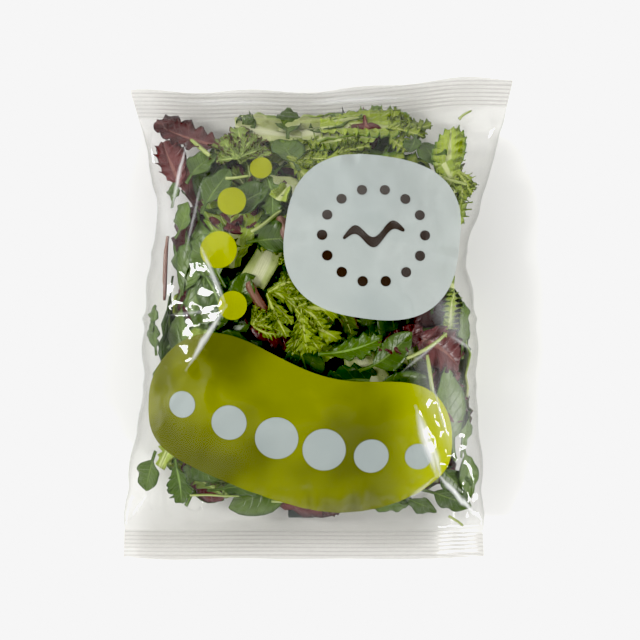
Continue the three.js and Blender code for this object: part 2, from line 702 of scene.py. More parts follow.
@dataclass(frozen=True)
class Stroke:
    """A straight line over the front film between two photo pixels."""

    start: Pair
    end: Pair

    def distance(self, points: np.ndarray) -> tuple[np.ndarray, np.ndarray]:
        """Measure points of the plan from the line.

        Args:
            points: Rows of X, Y and Z.

        Returns:
            How far each point is off the line, and how far along it, from 0 to 1.
        """
        start = np.array(PHOTO.place(*self.start))
        along = np.array(PHOTO.place(*self.end)) - start
        share = np.clip((points[:, :2] - start) @ along / (along @ along), 0, 1)
        off = np.linalg.norm(points[:, :2] - start - share[:, None] * along, axis=1)
        return off, share


@dataclass(frozen=True)
class Crease(Stroke):
    """A sharp fold: its height and the half width of its foot, in millimetres."""

    height: float = 1.0
    width: float = 3.0
    blunt_end: float = 0.04
    end_height: float = 0.25
    end_width: float = 0.4

    def lift(self, points: np.ndarray) -> np.ndarray:
        """Return how far the crease lifts each point of the film."""
        off, share = self.distance(points)
        rise = np.sin(math.pi * np.clip(share, self.blunt_end, 1 - self.blunt_end))
        taper = self.end_height + (1 - self.end_height) * rise
        foot = self.width * MM * (self.end_width + (1 - self.end_width) * taper)
        return self.height * MM * taper * np.clip(1 - off / foot, 0, 1)


@dataclass(frozen=True)
class PaintedHighlight(Stroke):
    """A highlight painted along a crease, white where the film would mirror a light: its half width in
    millimetres and its strength.
    """

    width: float = 1.2
    haze_and_painted_highlight: float = 0.5
    blunt_end: float = 0.06
    fullness: float = 0.7

    def cover(self, points: np.ndarray) -> np.ndarray:
        """Return how much painted highlight the streak lays on each point of the film."""
        off, share = self.distance(points)
        taper = np.sin(math.pi * np.clip(share, self.blunt_end, 1 - self.blunt_end)) ** self.fullness
        return self.haze_and_painted_highlight * taper * np.clip(1 - off / (self.width * MM * taper), 0, 1)


@dataclass(frozen=True)
class SmallCreases:
    """Short creases drawn at random over one zone of the film.

    The zone is given in shares of the half width, and lengths in photo pixels.
    """

    count: int
    zone: Pair
    lean_spread: float
    length: Pair
    width: Pair
    steepness: Pair
    middle: Pair = (312.0, 318.0)
    reach: Pair = (165.0, 205.0)
    end: float = 0.95
    seal_zone: float = 0.8
    seal_lean_spread: float = 18.0
    upright: float = 90.0
    fan: float = 32.0

    def create(self, draw: np.random.Generator) -> list[Crease]:
        """Draw creases that run along the sides and fan out from the seals.

        Args:
            draw: The random draws.

        Returns:
            The creases.
        """
        drawn = []
        for _ in range(self.count):
            across = draw.choice((-1, 1)) * draw.uniform(*self.zone)
            along = draw.uniform(-self.end, self.end)
            lean = self.upright - self.fan * across * along + draw.normal(0, self.lean_spread)
            if abs(along) > self.seal_zone:
                lean = draw.normal(0, self.seal_lean_spread)
            half = draw.uniform(*self.length) / 2
            width = draw.uniform(*self.width)
            height = width * draw.uniform(*self.steepness)
            px, py = self.middle[0] + self.reach[0] * across, self.middle[1] + self.reach[1] * along
            side, up = math.cos(math.radians(lean)) * half, math.sin(math.radians(lean)) * half
            drawn.append(Crease((px - side, py - up), (px + side, py + up), height, width))
        return drawn


@dataclass
class FilmBag:
    """The film tube with its two crimped seals, drawn over the leaves."""

    node: str = "salad_bag"
    levels: int = 2
    weld: float = 0.001 * MM
    seal_depth: float = 15.6 * MM
    seal_fade: float = 1.5 * MM
    top_climb: float = 6.4 * MM
    climb_from: float = -2 * MM
    climb_to: float = 76 * MM
    pleat_reach: float = 34 * MM
    pleat_wave: float = 13 * MM
    pleat_height: float = 1.1 * MM
    pleat_sway: Sway = ((0.7, 11 * MM, 0.0), (0.5, 4.1 * MM, 1.0))
    side_pleat_wave: float = 23 * MM
    side_pleat_height: float = 0.55 * MM
    side_pleat_sway: Sway = ((1.3, 17 * MM, 0.0), (0.6, 5 * MM, 0.0))
    side_pleat_start: float = 8 * MM
    side_pleat_rise: float = 30 * MM
    side_slope: Pair = (0.25, 0.5)
    rest_height: float = 3 * MM
    crumple_size: float = 30 * MM
    crumple_height: float = 2.6 * MM
    fine_size: float = 11 * MM
    fine_height: float = 0.5 * MM
    crumple_middle: float = 0.35
    slack_reach: float = 12 * MM
    slack_height: float = 4 * MM
    crease_reach: Pair = (6 * MM, 2.6 * MM)
    small_creases: tuple[SmallCreases, ...] = (
        SmallCreases(80, (0.5, 0.98), 14.0, (16.0, 60.0), (3.0, 6.5), (0.12, 0.26)),
        SmallCreases(26, (0.0, 0.6), 40.0, (50.0, 130.0), (8.0, 15.0), (0.05, 0.11)),
    )
    creases: tuple[Crease, ...] = (
        Crease((229, 308), (193, 367), 1.6, 6.0),
        Crease((202, 245), (231, 308), 1.4, 6.5),
        Crease((150, 320), (228, 312), 0.8, 6.0),
        Crease((411, 402), (433, 470), 0.8, 8.0),
        Crease((433, 470), (480, 518), 1.5, 7.0),
        Crease((433, 470), (408, 500), 1.0, 5.0),
        Crease((434, 468), (462, 452), 0.9, 4.0),
        Crease((418, 352), (447, 447), 0.9, 6.0),
        Crease((187, 143), (176, 215), 1.3, 5.0),
        Crease((206, 182), (190, 262), 1.0, 6.0),
        Crease((398, 370), (442, 333), 1.1, 6.0),
        Crease((442, 333), (470, 352), 1.2, 5.0),
        Crease((428, 255), (466, 262), 1.1, 5.0),
        Crease((466, 262), (470, 330), 1.0, 5.0),
        Crease((150, 492), (127, 522), 1.3, 5.0),
        Crease((150, 130), (172, 178), 1.0, 5.0),
        Crease((350, 96), (300, 112), 0.8, 5.0),
        Crease((480, 110), (440, 170), 1.0, 6.0),
    )
    # Highlights painted along creases, in photo pixels: start, end, half width and strength.
    painted_highlights: tuple[PaintedHighlight, ...] = (
        PaintedHighlight((204, 246), (231, 308), 1.5, 0.5),
        PaintedHighlight((231, 306), (192, 368), 1.7, 0.6),
        PaintedHighlight((172, 316), (230, 310), 1.1, 0.3),
        PaintedHighlight((187, 143), (176, 216), 1.3, 0.5),
        PaintedHighlight((206, 182), (190, 262), 1.0, 0.25),
        PaintedHighlight((150, 492), (127, 522), 1.3, 0.3),
        PaintedHighlight((411, 402), (434, 472), 3.2, 0.75),
        PaintedHighlight((425, 430), (438, 474), 2.0, 0.6),
        PaintedHighlight((432, 466), (480, 519), 1.7, 0.75),
        PaintedHighlight((434, 470), (404, 500), 1.2, 0.3),
        PaintedHighlight((418, 352), (447, 447), 1.2, 0.35),
        PaintedHighlight((398, 370), (442, 333), 1.2, 0.3),
        PaintedHighlight((442, 333), (470, 352), 1.2, 0.35),
        PaintedHighlight((430, 296), (464, 346), 9.0, 0.22),
        PaintedHighlight((440, 350), (462, 474), 12.0, 0.2),
        PaintedHighlight((415, 345), (432, 420), 7.0, 0.14),
        PaintedHighlight((160, 182), (176, 250), 7.0, 0.16),
        PaintedHighlight((300, 100), (420, 94), 2.6, 0.3),
        PaintedHighlight((160, 98), (300, 101), 2.0, 0.22),
    )
    piece: Piece = field(init=False)
    smooth_tree: BVHTree = field(init=False)
    tree: BVHTree = field(init=False)

    def build(self) -> Piece:
        """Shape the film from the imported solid's own faces.

        Returns:
            The film piece.
        """
        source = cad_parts[self.node]
        self.piece = source.copy()
        self.piece.data = source.data.copy()
        self.piece.parent = None
        bpy.context.scene.collection.objects.link(self.piece)
        self.piece.name = "film"
        for key in list(self.piece.keys()):
            del self.piece[key]
        self._merge_faces()
        subdivision = self.piece.modifiers.new("subdivision", "SUBSURF")
        subdivision.levels = subdivision.render_levels = self.levels
        apply_modifiers(self.piece)
        self.smooth_tree = self._tree()
        for reach in self.crease_reach:
            self._refine_creases(reach)
        self._mark_seals()
        self._wrinkle()
        self._crumple()
        self.tree = self._tree()
        return self.piece

    def _merge_faces(self) -> None:
        """Merge the loose triangles and pair them into four-sided faces."""
        choose(self.piece)
        bpy.ops.mesh.customdata_custom_splitnormals_clear()
        with editing(self.piece):
            bpy.ops.mesh.remove_doubles(threshold=self.weld)
            bpy.ops.mesh.tris_convert_to_quads(face_threshold=math.pi, shape_threshold=math.pi)

    def _refine_creases(self, reach: float) -> None:
        """Split the front film's faces that lie beside a crease.

        Args:
            reach: How far from the crease, in metres.
        """
        mesh = self.piece.data
        middles = read_vectors(mesh.polygons, "center")
        near = np.zeros(len(middles), dtype=bool)
        for crease in self.creases:
            near |= crease.distance(middles)[0] < reach
        near &= read_vectors(mesh.polygons, "normal")[:, 2] > 0
        with editing(self.piece):
            bpy.ops.mesh.select_mode(type="FACE")
            bpy.ops.mesh.select_all(action="DESELECT")
        mesh.polygons.foreach_set("select", near)
        bpy.ops.object.mode_set(mode="EDIT")
        bpy.ops.mesh.subdivide(number_cuts=1)
        bpy.ops.object.mode_set(mode="OBJECT")

    def _tree(self) -> BVHTree:
        """Return a search tree of the film as it is now."""
        mesh = self.piece.data
        corners = [tuple(polygon.vertices) for polygon in mesh.polygons]
        return BVHTree.FromPolygons([tuple(v.co) for v in mesh.vertices], corners)

    def _end_distance(self, points: np.ndarray) -> np.ndarray:
        """Return how far each point lies from the nearer end of the film, in metres."""
        low, high = points[:, 1].min(), points[:, 1].max()
        along_climb = (points[:, 0] - self.climb_from) / (self.climb_to - self.climb_from)
        drop = self.top_climb * (1 - smooth_step(along_climb))
        return np.minimum(points[:, 1] - low, high - drop - points[:, 1])

    def _mark_seals(self) -> None:
        """Mark the crimped bands, which are two films pressed together."""
        ends = self._end_distance(read_points(self.piece))
        past_seal = smooth_step((ends - self.seal_depth) / self.seal_fade + 0.5)
        set_attribute(self.piece, "seal", 1 - past_seal)
        set_attribute(self.piece, "end_distance", ends)

    def _wrinkle(self) -> None:
        """Draw the pleats beside the seals and sides, and the creases of the front, and store the highlights
        painted along them.
        """
        points = read_points(self.piece)
        normals = read_vectors(self.piece.data.vertex_normals, "vector")
        into = self._end_distance(points) - self.seal_depth
        x, y, z = points.T
        sway = sway_along(x, self.pleat_sway)
        ridge = 1 - 2 * np.abs(np.sin(math.pi * x / self.pleat_wave + sway))
        fade = np.sin(math.pi * smooth_step(into / self.pleat_reach)) * (into > 0)
        height = self.pleat_height * ridge * fade

        slope = 1 - np.abs(normals[:, 2])
        side_sway = sway_along(y, self.side_pleat_sway)
        side_ridge = 1 - 2 * np.abs(np.sin(math.pi * y / self.side_pleat_wave + side_sway))
        body = smooth_step((into - self.side_pleat_start) / self.side_pleat_rise)
        steep = smooth_step((slope - self.side_slope[0]) / self.side_slope[1])
        height = height + self.side_pleat_height * side_ridge * steep * body

        front = normals[:, 2] > 0
        draw = np.random.default_rng(SEED)
        drawn = [crease for kind in self.small_creases for crease in kind.create(draw)]
        for crease in (*self.creases, *drawn):
            height += front * crease.lift(points)
        # Painted highlight: white laid along the creases where glints and milky reflections of the lights
        # show.
        haze_and_painted_highlight = np.max([streak.cover(points) for streak in self.painted_highlights], axis=0)
        set_attribute(self.piece, "haze_and_painted_highlight", front * haze_and_painted_highlight)
        lifted = smooth_step(z / self.rest_height)
        write_points(self.piece, points + normals * (height * lifted)[:, None])

    def _crumple(self) -> None:
        """Break the body of the film into slack facets with drawn edges."""
        points = read_points(self.piece)
        into = self._end_distance(points) - self.seal_depth
        loose = smooth_step(into / self.slack_reach) * smooth_step(points[:, 2] / self.slack_height)
        group = self.piece.vertex_groups.new(name="loose")
        for index, weight in enumerate(loose):
            group.add((index,), float(weight), "REPLACE")
        coarse = ("facets", self.crumple_size, self.crumple_height)
        fine = ("fine", self.fine_size, self.fine_height)
        for name, size, height in (coarse, fine):
            displace = add_displace(self.piece, name, "VORONOI", size, -height, self.crumple_middle)
            displace.texture.weight_1, displace.texture.weight_2 = -1.0, 1.0
            displace.vertex_group = group.name
        apply_modifiers(self.piece)
        self.piece.vertex_groups.clear()

    def dress(self) -> None:
        """Give the film its material and its place on the body."""
        dress_piece(self.piece, FilmFinish().build(), self.node)


# Print


class Outline:
    """An area of the plan, in photo pixels, that a unit square is stretched over."""

    def extent(self) -> Pair:
        """Return how many pixels the area spans across and down."""
        raise NotImplementedError

    def place(self, unit: np.ndarray) -> np.ndarray:
        """Return the plan places of points of the unit square."""
        raise NotImplementedError

    def faces(self, step: float) -> tuple[int, int]:
        """Return how many faces run across and along at a step in metres."""
        scale = PHOTO.mm_per_pixel * MM
        return tuple(max(2, round(side * scale / step)) for side in self.extent())


@dataclass(frozen=True)
class RoundPanel(Outline):
    """A soft-cornered oval, in photo pixels."""

    middle: Pair
    size: Pair
    turn: float = 0.0
    squareness: float = 2.6

    def extent(self) -> Pair:
        """Return how many pixels the area spans across and down."""
        return self.size

    def place(self, unit: np.ndarray) -> np.ndarray:
        """Return the plan places of points of the unit square."""
        square = unit * 2 - 1
        reach = np.max(np.abs(square), axis=1)
        angle = np.arctan2(square[:, 1], square[:, 0])
        power = self.squareness
        edge = (np.abs(np.cos(angle)) ** power + np.abs(np.sin(angle)) ** power) ** (-1 / power)
        px = reach * edge * np.cos(angle) * self.size[0] / 2
        py = reach * edge * np.sin(angle) * self.size[1] / 2
        turn = math.radians(self.turn)
        across = self.middle[0] + px * math.cos(turn) - py * math.sin(turn)
        down = self.middle[1] - (px * math.sin(turn) + py * math.cos(turn))
        return np.stack(PHOTO.place(across, down), axis=1)


@dataclass(frozen=True)
class WaveBand(Outline):
    """A band between two rolling edges, in photo pixels, with round ends."""

    left: float
    right: float
    upper: float
    lower: float
    upper_roll: float
    lower_roll: float
    rolls: float = 1.0
    shift: float = 0.0
    slope: float = 0.0
    end_power: float = 2.4
    crowding: float = 0.6

    def extent(self) -> Pair:
        """Return how many pixels the area spans across and down."""
        return self.right - self.left, self.lower - self.upper

    def place(self, unit: np.ndarray) -> np.ndarray:
        """Return the plan places of points of the unit square."""
        eased = 0.5 - 0.5 * np.cos(math.pi * unit[:, 0])
        share = unit[:, 0] * (1 - self.crowding) + eased * self.crowding
        px = self.left + (self.right - self.left) * share
        wave = np.sin(2 * math.pi * (self.rolls * share + self.shift))
        middle = (self.upper + self.lower) / 2
        end = (1 - np.abs(2 * share - 1) ** self.end_power) ** (1 / self.end_power)
        upper = middle + (self.upper - middle) * end + self.upper_roll * wave * end
        lower = middle + (self.lower - middle) * end + self.lower_roll * wave * end
        py = lower + (upper - lower) * unit[:, 1] + self.slope * (share - 0.5)
        return np.stack(PHOTO.place(px, py), axis=1)


@dataclass
class PrintLayer:
    """Plain shapes of one ink, laid inside the film's front or back."""

    name: str
    slot: str
    finish: PrintFinish
    outlines: tuple[Outline, ...]
    step: float = 0.85 * MM
    depth: float = 0.32 * MM
    on_back: bool = False

    def build(self, film: FilmBag) -> Piece:
        """Lay every shape of the layer under the film.

        Args:
            film: The bag that carries the print.

        Returns:
            The printed piece.
        """
        piece = join_pieces([self._lay(outline, film) for outline in self.outlines], self.name)
        with editing(piece):
            bpy.ops.mesh.remove_doubles(threshold=MERGE_REACH)
        dress_piece(piece, self.finish.build())
        return piece

    def _lay(self, outline: Outline, film: FilmBag) -> Piece:
        """Lay a grid of one shape under the film and turn its face outwards.

        Args:
            outline: The shape.
            film: The bag that carries it.

        Returns:
            The shape's piece.
        """
        piece = add_grid(*outline.faces(self.step))
        plan = outline.place(read_points(piece)[:, :2])
        laid = np.empty((len(plan), 3))
        way = Vector((0, 0, 1 if self.on_back else -1))
        for index, (x, y) in enumerate(plan):
            hit = film.tree.ray_cast(Vector((x, y, 0)) - way, way)
            laid[index] = hit[0] - hit[1] * self.depth if hit[0] else (x, y, 0)
        write_points(piece, laid)
        facing = sum(polygon.normal.z * polygon.area for polygon in piece.data.polygons)
        if facing * way.z > 0:
            with editing(piece):
                bpy.ops.mesh.flip_normals()
        return piece


# Leaves


@dataclass(frozen=True)
class Unevenness:
    """How a leaf's margin and ruffle depart from even waves: phases in radians, and shares."""

    other_side: float = 1.7
    slow_beat: float = 0.31
    quick_beat: float = 0.73
    slow_share: float = 0.6
    quick_share: float = 0.35
    beat_shift: float = 1.3
    depth_beat: float = 0.47
    depth_level: float = 0.75
    depth_share: float = 0.4
    ruffle_side: float = 2.3
    ruffle_beat: float = 1.9
    ruffle_share: float = 0.5

    def notches(self, beat: np.ndarray, side: np.ndarray) -> tuple[np.ndarray, np.ndarray]:
        """Cut uneven notches along a margin.

        Args:
            beat: How far round the notches a point is, in radians.
            side: The phase of the point's own side of the leaf.

        Returns:
            How deep in its notch each point lies, from 0 to 1, and how deep the notches are there.
        """
        slow = self.slow_share * np.sin(beat * self.slow_beat + side * 2)
        quick = self.quick_share * np.sin(beat * self.quick_beat + side * 5)
        notch = 0.5 - 0.5 * np.cos(beat + side + self.beat_shift * (slow + quick))
        depth = self.depth_level + self.depth_share * np.sin(beat * self.depth_beat + side * 3)
        return notch, depth


@dataclass(frozen=True)
class Blade:
    """The form of one kind of leaf: a blade on a stalk, with its margin and ruffles."""

    length: float
    width: float
    stalk: float = 0.2
    stalk_width: float = 2.0
    widest: float = 0.9
    fullness: float = 0.8
    lobes: float = 0.0
    lobe_depth: float = 0.0
    lobe_sharpness: float = 1.0
    ruffle: float = 0.6
    ruffles: float = 2.0
    groove: float = 0.5
    cup: float = 0.15
    sweep: float = 0.0
    rows: int = 18
    columns: int = 8
    thickness: float = 0.35
    blunt_tip: float = 0.005
    stalk_taper: float = 0.6
    groove_width: float = 0.14
    bend: float = 0.1
    bend_sway: float = 0.2
    ruffle_sweep: float = 0.25
    uneven: Unevenness = Unevenness()

    def shape(self, unit: np.ndarray, length: float, width: float, draw: np.random.Generator) -> np.ndarray:
        """Shape one blade flat on its own axes, in metres.

        Args:
            unit: Points of the unit square: across and along.
            length: The leaf's length in millimetres.
            width: The blade's full width in millimetres.
            draw: The random draws for this leaf.

        Returns:
            Rows of across, along and lift, about the leaf's middle.
        """
        across = unit[:, 0] * 2 - 1
        along = unit[:, 1]
        turn, sway, wave = draw.uniform(0, 2 * math.pi, 3)
        blade = np.clip((along - self.stalk) / (1 - self.stalk), 0, 1)
        swell = np.sin(math.pi * np.clip(blade, 0.0, 1 - self.blunt_tip) ** self.widest) ** self.fullness
        edge = np.abs(across)
        if self.lobe_depth:
            side = np.where(across > 0, turn, turn + self.uneven.other_side)
            notch, depth = self.uneven.notches(2 * math.pi * self.lobes * blade, side)
            swell = swell * (1 - self.lobe_depth * depth * notch**self.lobe_sharpness * edge)
        half = np.maximum(swell * width / 2, self.stalk_width / 2 * (1 - self.stalk_taper * along))
        lift = self.cup * half * across**2
        frill = 2 * math.pi * self.ruffles * blade + wave + (across > 0) * self.uneven.ruffle_side
        second = self.uneven.ruffle_share * np.sin(self.uneven.ruffle_beat * frill + turn)
        lift += self.ruffle * (np.sin(frill) + second) * edge**2 * swell
        lift -= self.groove * np.exp(-((across / self.groove_width) ** 2)) * (half > self.stalk_width / 2)
        bend = draw.uniform(-self.bend, self.bend) * length
        plan_across = across * half + bend * np.sin(math.pi * along + sway * self.bend_sway)
        swept = self.sweep * half * edge + self.ruffle_sweep * self.ruffle * edge * np.cos(frill)
        plan_along = (along - 0.5) * length + swept
        return np.stack((plan_across, plan_along, lift), axis=1) * MM


class LeafKind(Enum):
    """The kinds of leaf in the mix, each with its form."""

    BABY = Blade(
        length=44, width=21, stalk=0.26, stalk_width=1.9, widest=0.85, fullness=0.72,
        ruffle=1.2, ruffles=1.7, cup=0.22, rows=20, columns=8,
    )
    ROCKET = Blade(
        length=56, width=21, stalk=0.18, stalk_width=2.0, widest=1.05, fullness=0.62, lobes=5.5,
        lobe_depth=0.45, lobe_sharpness=0.8, ruffle=1.3, ruffles=4, sweep=0.35, rows=40, columns=8,
    )
    BURGUNDY = Blade(
        length=56, width=34, stalk=0.04, stalk_width=5, widest=1.0, fullness=0.5, lobes=5, lobe_depth=0.12,
        ruffle=2.4, ruffles=5.2, groove=0.8, cup=0.25, sweep=0.2, rows=36, columns=14,
    )
    FRILLY = Blade(
        length=30, width=15, stalk=0.1, stalk_width=2, widest=1.7, fullness=0.7, lobes=4, lobe_depth=0.55,
        lobe_sharpness=0.8, ruffle=1.7, ruffles=5, groove=0.4, sweep=0.8, rows=30, columns=10,
    )
    PALE = Blade(
        length=60, width=38, stalk=0.03, stalk_width=11, widest=1.3, fullness=0.5, lobes=8, lobe_depth=0.12,
        lobe_sharpness=0.6, ruffle=3.4, ruffles=9, groove=1.2, cup=0.2, sweep=0.2, rows=54, columns=16,
    )
    RIB = Blade(
        length=58, width=20, stalk=0.0, stalk_width=15, fullness=0.25, lobes=2, lobe_depth=0.12,
        ruffle=1.0, ruffles=3, groove=-1.0, cup=0.1, rows=20, columns=12, thickness=1.2,
    )
    CURLY = Blade(
        length=26, width=11, stalk=0.05, stalk_width=1.6, widest=1.4, fullness=0.6, lobes=5, lobe_depth=0.8,
        lobe_sharpness=0.9, ruffle=1.8, ruffles=6, groove=0.2, sweep=0.9, rows=34, columns=8,
    )
    RED_STEM = Blade(
        length=46, width=3.4, stalk=0.0, stalk_width=3.0, fullness=0.12, ruffle=0, groove=-0.9, cup=-0.4,
        rows=14, columns=6, thickness=0.9,
    )
    GREEN_STEM = Blade(
        length=44, width=2.4, stalk=0.0, stalk_width=2.0, fullness=0.12, ruffle=0, groove=-0.7, cup=-0.4,
        rows=16, columns=6, thickness=0.7,
    )


@dataclass(frozen=True)
class Seen:
    """A leaf that the photograph shows: its middle in pixels and how it lies."""

    kind: LeafKind
    px: float
    py: float
    turn: float
    length: float
    width: float
    depth: float = 1.5
    tint: float = 0.5


SPRIG_BLADES = {LeafKind.FRILLY: 8, LeafKind.CURLY: 9}


@dataclass(frozen=True)
class SprigForm:
    """How the blades of a sprig fan out and differ: degrees, and shares of the sprig's length."""

    spread: float = 62.0
    turn_spread: float = 7.0
    length: Pair = (0.55, 0.95)
    side_length: float = 0.65
    sink: float = 1.6
    tint_spread: float = 0.2
    width: Pair = (0.8, 1.3)


@dataclass(frozen=True)
class FillForm:
    """How the hidden leaves of the heap are scattered and laid."""

    count: int = 330
    coarseness: int = 2
    sprig_coarseness: int = 3
    clearance: float = 3.4 * MM
    upward: float = 1.6
    start: float = 0.5
    squarely: float = 0.2
    thin_bag: float = 25 * MM
    size: Pair = (0.75, 1.15)
    front_normal: float = 0.5
    front_depth: float = 7 * MM
    back_depth: float = 1 * MM
    deepest: float = 15 * MM


@dataclass(frozen=True)
class HeapOutline:
    """How far the leaves reach under the film, in photo pixels: rows down, and limits across."""

    rows: tuple[float, ...] = (104, 125, 180, 260, 330, 400, 450, 490, 518)
    left: tuple[float, ...] = (160, 154, 160, 158, 156, 152, 144, 136, 170)
    right: tuple[float, ...] = (400, 440, 472, 474, 474, 478, 480, 480, 474)

    def holds(self, x: float, y: float) -> bool:
        """Say whether a place in the plan lies within the heap.

        Args:
            x: Metres across.
            y: Metres along.

        Returns:
            True within the outline.
        """
        px, py = PHOTO.pixel(x, y)
        if not self.rows[0] < py < self.rows[-1]:
            return False
        return np.interp(py, self.rows, self.left) < px < np.interp(py, self.rows, self.right)


@dataclass(frozen=True)
class KindFinish:
    """The finish and the slot of one kind of leaf."""

    kind: LeafKind
    slot: str
    finish: LeafFinish


@dataclass(frozen=True)
class Lie:
    """How one leaf or sprig lies: lengths in millimetres, and its depth under the film in metres.

    The anchor and normal are the film's over its middle, and the heading runs from its foot to its
    tip. The tint lies between its finish's dark and light. A detailed one shows and has its finest
    faces.
    """

    kind: LeafKind
    anchor: Vector
    normal: Vector
    heading: Vector
    length: float
    width: float
    depth: float
    tint: float
    detailed: bool

    def axes(self) -> tuple[Vector, Vector]:
        """Return the ways sideways and forward along the film."""
        forward = (self.heading - self.normal * self.heading.dot(self.normal)).normalized()
        return forward.cross(self.normal), forward


@dataclass
class LeafHeap:
    """The loose leaves in the bag, one joined piece for each kind."""

    film: FilmBag
    clearance: float = 0.9 * MM
    conform: float = 0.75
    seen_tilt: float = 0.06
    fill_tilt: float = 0.09
    crest: float = 92.0
    front_normal: float = 0.3
    outline: HeapOutline = HeapOutline()
    sprig: SprigForm = SprigForm()
    fill: FillForm = FillForm()
    pieces: dict[LeafKind, list[Piece]] = field(default_factory=dict)
    draw: np.random.Generator = field(default_factory=lambda: np.random.default_rng(SEED))

    def add(self, lie: Lie) -> None:
        """Lay one leaf under the film, as a single blade or as a sprig of them."""
        if lie.kind in SPRIG_BLADES:
            self._add_sprig(lie)
        else:
            self._add_blade(lie)

    def add_seen(self, leaf: Seen) -> None:
        """Lay a leaf where the photograph shows it, under the front film.

        Args:
            leaf: The leaf's place and size.
        """
        x, y = PHOTO.place(leaf.px, leaf.py)
        hit, normal, _, _ = self.film.smooth_tree.ray_cast(Vector((x, y, 1)), Vector((0, 0, -1)))
        turn = math.radians(leaf.turn)
        heading = Vector((math.cos(turn), math.sin(turn), 0))
        size = leaf.length, leaf.width, leaf.depth * MM
        self.add(Lie(leaf.kind, hit, normal, heading, *size, leaf.tint, True))

    def _add_blade(self, lie: Lie) -> None:
        """Lay one blade under the film.

        Args:
            lie: Its kind, place and size.
        """
        blade = lie.kind.value
        hidden = self.fill.sprig_coarseness if lie.kind in SPRIG_BLADES else self.fill.coarseness
        coarser = 1 if lie.detailed else hidden
        piece = add_grid(blade.columns // coarser, blade.rows // coarser)
        local = blade.shape(read_points(piece)[:, :2], lie.length, lie.width, self.draw)
        tilt = self.draw.normal(0, self.seen_tilt if lie.detailed else self.fill_tilt, 2)
        lean = local[:, 0] * tilt[0] + local[:, 1] * tilt[1]
        level = np.array(lie.anchor) + local[:, :2] @ np.array(lie.axes())
        lift = local[:, 2] + lean
        lift -= np.percentile(lift, self.crest)
        laid = np.array([self._under_film(point, rise, lie) for point, rise in zip(level, lift)])
        write_points(piece, laid)
        set_attribute(piece, "tint", np.full(len(laid), lie.tint))
        self.pieces.setdefault(lie.kind, []).append(piece)

    def _under_film(self, point: np.ndarray, lift: float, lie: Lie) -> Vector:
        """Return where a leaf's point comes to rest: drawn to the film's form and inside it.

        Args:
            point: The point on the plane that touches the film over the leaf's middle.
            lift: The leaf's own height there.
            lie: How the leaf lies.

        Returns:
            The point's place.
        """
        level = Vector(point)
        near, outward, _, _ = self.film.smooth_tree.find_nearest(level)
        straight = level + lie.normal * (lift - lie.depth)
        formed = near + outward * min(lift - lie.depth, -self.clearance)
        place = straight.lerp(formed, self.conform)
        close, facing, _, _ = self.film.tree.find_nearest(place)
        in_front = facing.z > self.front_normal and place.z > self.fill.thin_bag / 2
        clearance = self.fill.clearance if in_front and not lie.detailed else self.clearance
        if (close - place).dot(facing) < clearance:
            place = close - facing * clearance
        return place

    def _add_sprig(self, lie: Lie) -> None:
        """Lay a fan of small blades that spring from one foot, as a frilly leaf's lobes do.

        Args:
            lie: The whole sprig's kind, place and length.
        """
        form = self.sprig
        blades = SPRIG_BLADES[lie.kind]
        sideways, forward = lie.axes()
        foot = lie.anchor - forward * (lie.length * MM / 2)
        ratio = lie.kind.value.width / lie.kind.value.length
        for index in range(blades):
            fan = form.spread * (2 * (index + 0.5) / blades - 1)
            spread = math.radians(fan + self.draw.normal(0, form.turn_spread))
            way = forward * math.cos(spread) + sideways * math.sin(spread)
            shorter = form.side_length + (1 - form.side_length) * math.cos(spread)
            size = lie.length * self.draw.uniform(*form.length) * shorter
            near, outward, _, _ = self.film.smooth_tree.find_nearest(foot + way * (size * MM / 2))
            depth = lie.depth + self.draw.uniform(0, form.sink) * MM
            tint = float(np.clip(lie.tint + self.draw.normal(0, form.tint_spread), 0, 1))
            width = size * ratio * self.draw.uniform(*form.width)
            self._add_blade(Lie(lie.kind, near, outward, way, size, width, depth, tint, lie.detailed))

    def add_fill(self) -> None:
        """Lay the rest of the heap all round under the film, deeper than what the photo shows."""
        kinds = list(FILL_SHARES)
        odds = np.array([FILL_SHARES[kind] for kind in kinds])
        form = self.fill
        low, high = CAD_BOX
        placed = 0
        while placed < form.count:
            way = Vector(self.draw.normal(0, 1, 3) * (1, 1, form.upward)).normalized()
            x, y = self.draw.uniform(low[:2], high[:2])
            start = Vector((x, y, form.start * high[2]))
            hit, normal, _, _ = self.film.smooth_tree.ray_cast(start, way)
            if hit is None or normal.dot(way) < form.squarely:
                continue
            across = self.film.smooth_tree.ray_cast(hit - normal * MM, -normal)[0]
            if across is None or (across - hit).length < form.thin_bag:
                continue
            kind = kinds[self.draw.choice(len(kinds), p=odds / odds.sum())]
            size = self.draw.uniform(*form.size)
            length, width = kind.value.length * size, kind.value.width * size
            heading = Vector(self.draw.normal(0, 1, 3))
            reach = (heading - normal * heading.dot(normal)).normalized() * (length * MM / 2)
            if not all(self.outline.holds(*(hit + reach * side)[:2]) for side in (-1, 0, 1)):
                continue
            shallowest = form.front_depth if normal.z > form.front_normal else form.back_depth
            depth = self.draw.uniform(shallowest, form.deepest)
            tint = self.draw.uniform(0, 1)
            self.add(Lie(kind, hit, normal, heading, length, width, depth, tint, False))
            placed += 1

    def build(self) -> list[Piece]:
        """Join each kind into one piece and give the leaves their thickness.

        Returns:
            The finished pieces.
        """
        made = []
        for entry in LEAF_FINISHES:
            leaves = self.pieces.get(entry.kind, [])
            if not leaves:
                continue
            piece = join_pieces(leaves, entry.finish.name)
            solidify = piece.modifiers.new("thickness", "SOLIDIFY")
            solidify.thickness = entry.kind.value.thickness * MM
            solidify.offset = -1.0
            apply_modifiers(piece)
            dress_piece(piece, entry.finish.build(), self.film.node)
            made.append(piece)
        return made


